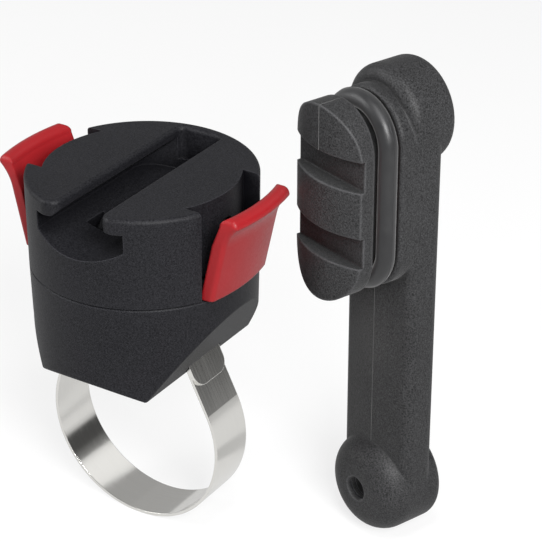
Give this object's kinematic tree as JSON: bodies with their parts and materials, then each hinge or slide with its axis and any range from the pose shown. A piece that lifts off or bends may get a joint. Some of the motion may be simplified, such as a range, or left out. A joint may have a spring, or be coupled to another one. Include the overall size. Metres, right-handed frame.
{
  "type": "bottle cage adapter",
  "caption": "Quick-release bottle cage adapter: a round socket held on a tube by a steel strap, with red release buttons, and a separate arm whose tongue slides into it.",
  "frame": {"origin": "centre of the gripped tube, at the middle of the strap's width", "axes": "+Y along the gripped tube, away from the slot's mouth; +Z from the tube up to the socket's top; +X towards the right button and the parted arm"},
  "size_m": [0.067, 0.0414, 0.0803],
  "materials": {
    "black_plastic": "fine-grained satin",
    "grained_plastic": "coarse speckled grain",
    "red_plastic": "satin gloss",
    "polished_steel": "polished",
    "pin_steel": "plain",
    "black_rubber": "smooth satin"
  },
  "bodies": {
    "socket": {"socket_housing": "black_plastic", "clamp_base": "black_plastic", "steel_strap": "polished_steel", "right_loop_pin": "pin_steel", "left_loop_pin": "pin_steel", "tension_yoke": "pin_steel", "tension_screw": "pin_steel", "case_screws": "pin_steel", "right_pivot_pin": "pin_steel", "left_pivot_pin": "pin_steel", "right_button_spring": "pin_steel", "left_button_spring": "pin_steel", "cage_arm": "grained_plastic", "rubber_ring": "black_rubber"},
    "right_button": {"right_button": "red_plastic"},
    "left_button": {"left_button": "red_plastic"}
  },
  "joints": [
    {"name": "right_button_press", "type": "hinge", "parent": "socket", "child": "right_button", "pos_m": [0.0124, 0, 0.0298], "axis": [0, -1, 0], "range_deg": [0, 9], "stiffness_Nm_per_rad": 0.3, "springref_deg": -8.59, "deforming": ["right_button_spring"]},
    {"name": "left_button_press", "type": "hinge", "parent": "socket", "child": "left_button", "pos_m": [-0.0124, 0, 0.0298], "axis": [0, 1, 0], "range_deg": [0, 9], "stiffness_Nm_per_rad": 0.3, "springref_deg": -8.59, "deforming": ["left_button_spring"]}
  ]
}
